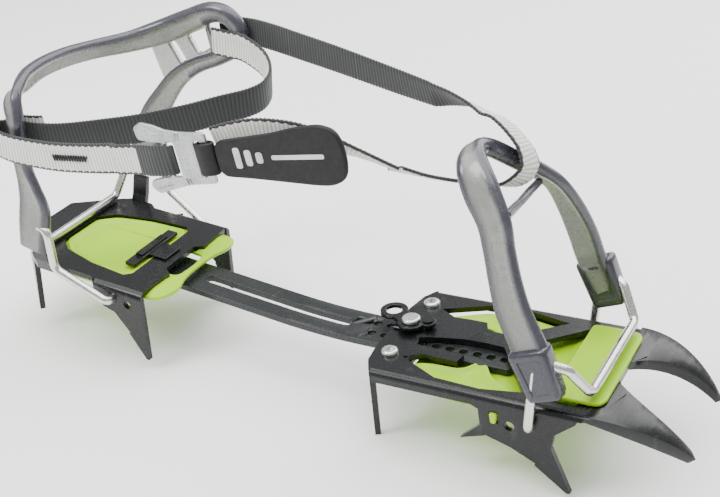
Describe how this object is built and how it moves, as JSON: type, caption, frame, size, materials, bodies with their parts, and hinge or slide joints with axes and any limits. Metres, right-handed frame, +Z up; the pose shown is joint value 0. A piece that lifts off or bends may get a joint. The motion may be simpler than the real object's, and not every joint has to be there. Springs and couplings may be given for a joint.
{
  "type": "strap-on crampon",
  "caption": "Adjustable steel crampon with heel and toe baskets on wire bails, a linking bar, snow-shedding plates and an ankle strap with a pull-tab buckle.",
  "frame": {"origin": "top face of the heel frame's front cross-bar, at its middle", "axes": "+X towards the toe, +Y towards the inner side of the foot, +Z up; the points stand on a level floor below the origin"},
  "size_m": [0.328, 0.103, 0.1488],
  "materials": {
    "black_steel": "gloss black electrocoat",
    "green_plastic": "satin acid green",
    "stainless_wire": "bright drawn",
    "zinc_steel": "zinc plated",
    "spring_steel": "bright",
    "smoke_tpu": "smoke grey translucent",
    "webbing": "ribbed woven, black one side and white the other",
    "black_thread": "thread",
    "stamped_alloy": "stamped, lightly pitted",
    "black_rubber": "matte"
  },
  "bodies": {
    "front_section": {"front_frame": "black_steel", "front_antiball_plate": "green_plastic", "bar_guide_plate": "black_steel", "guide_spacers": "zinc_steel", "guide_screws": "zinc_steel", "guide_nuts": "zinc_steel", "lever_pivot_rivet": "zinc_steel", "lever_spring": "spring_steel"},
    "lock_lever": {"lock_lever": "black_steel", "lock_pin": "zinc_steel"},
    "heel_section": {"heel_frame": "black_steel", "heel_antiball_plate": "green_plastic", "linking_bar": "black_steel", "bar_keeper_clip": "black_steel", "strap_upper_run": "webbing", "strap_lower_run": "webbing"},
    "toe_bail": {"toe_wire_bail": "stainless_wire", "toe_basket": "smoke_tpu", "strap_toe_loop": "webbing"},
    "heel_bail": {"heel_wire_bail": "stainless_wire", "heel_basket": "smoke_tpu", "heel_strap": "webbing", "strap_tail": "webbing", "strap_stitching": "black_thread", "buckle_strap": "webbing", "buckle_plate": "stamped_alloy", "tab_loop": "black_rubber"},
    "pull_tab": {"pull_tab": "black_rubber"}
  },
  "joints": [
    {"name": "length_adjust", "type": "slide", "parent": "front_section", "child": "heel_section", "axis": [0.9972, 0, 0.075], "range_m": [-0.03, 0.012], "deforming": ["strap_upper_run", "strap_lower_run"]},
    {"name": "lock_lever_swing", "type": "hinge", "parent": "front_section", "child": "lock_lever", "pos_m": [0.12175, 0.0015, -0.00329], "axis": [-0.075, 0, 0.9972], "range_deg": [0, 40], "stiffness_Nm_per_rad": 0.02, "springref_deg": -17.19, "deforming": ["lever_spring"]},
    {"name": "toe_bail_swing", "type": "hinge", "parent": "front_section", "child": "toe_bail", "pos_m": [0.19041, 0, -0.00956], "axis": [0, 1, 0], "range_deg": [-35, 0]},
    {"name": "heel_bail_swing", "type": "hinge", "parent": "heel_section", "child": "heel_bail", "pos_m": [-0.01074, 0, -0.00609], "axis": [0, 1, 0], "range_deg": [0, 40]},
    {"name": "pull_tab_swing", "type": "hinge", "parent": "heel_bail", "child": "pull_tab", "pos_m": [0.06531, -0.04935, 0.08555], "axis": [-0.2215, 0, 0.9752], "range_deg": [-60, 10]}
  ]
}
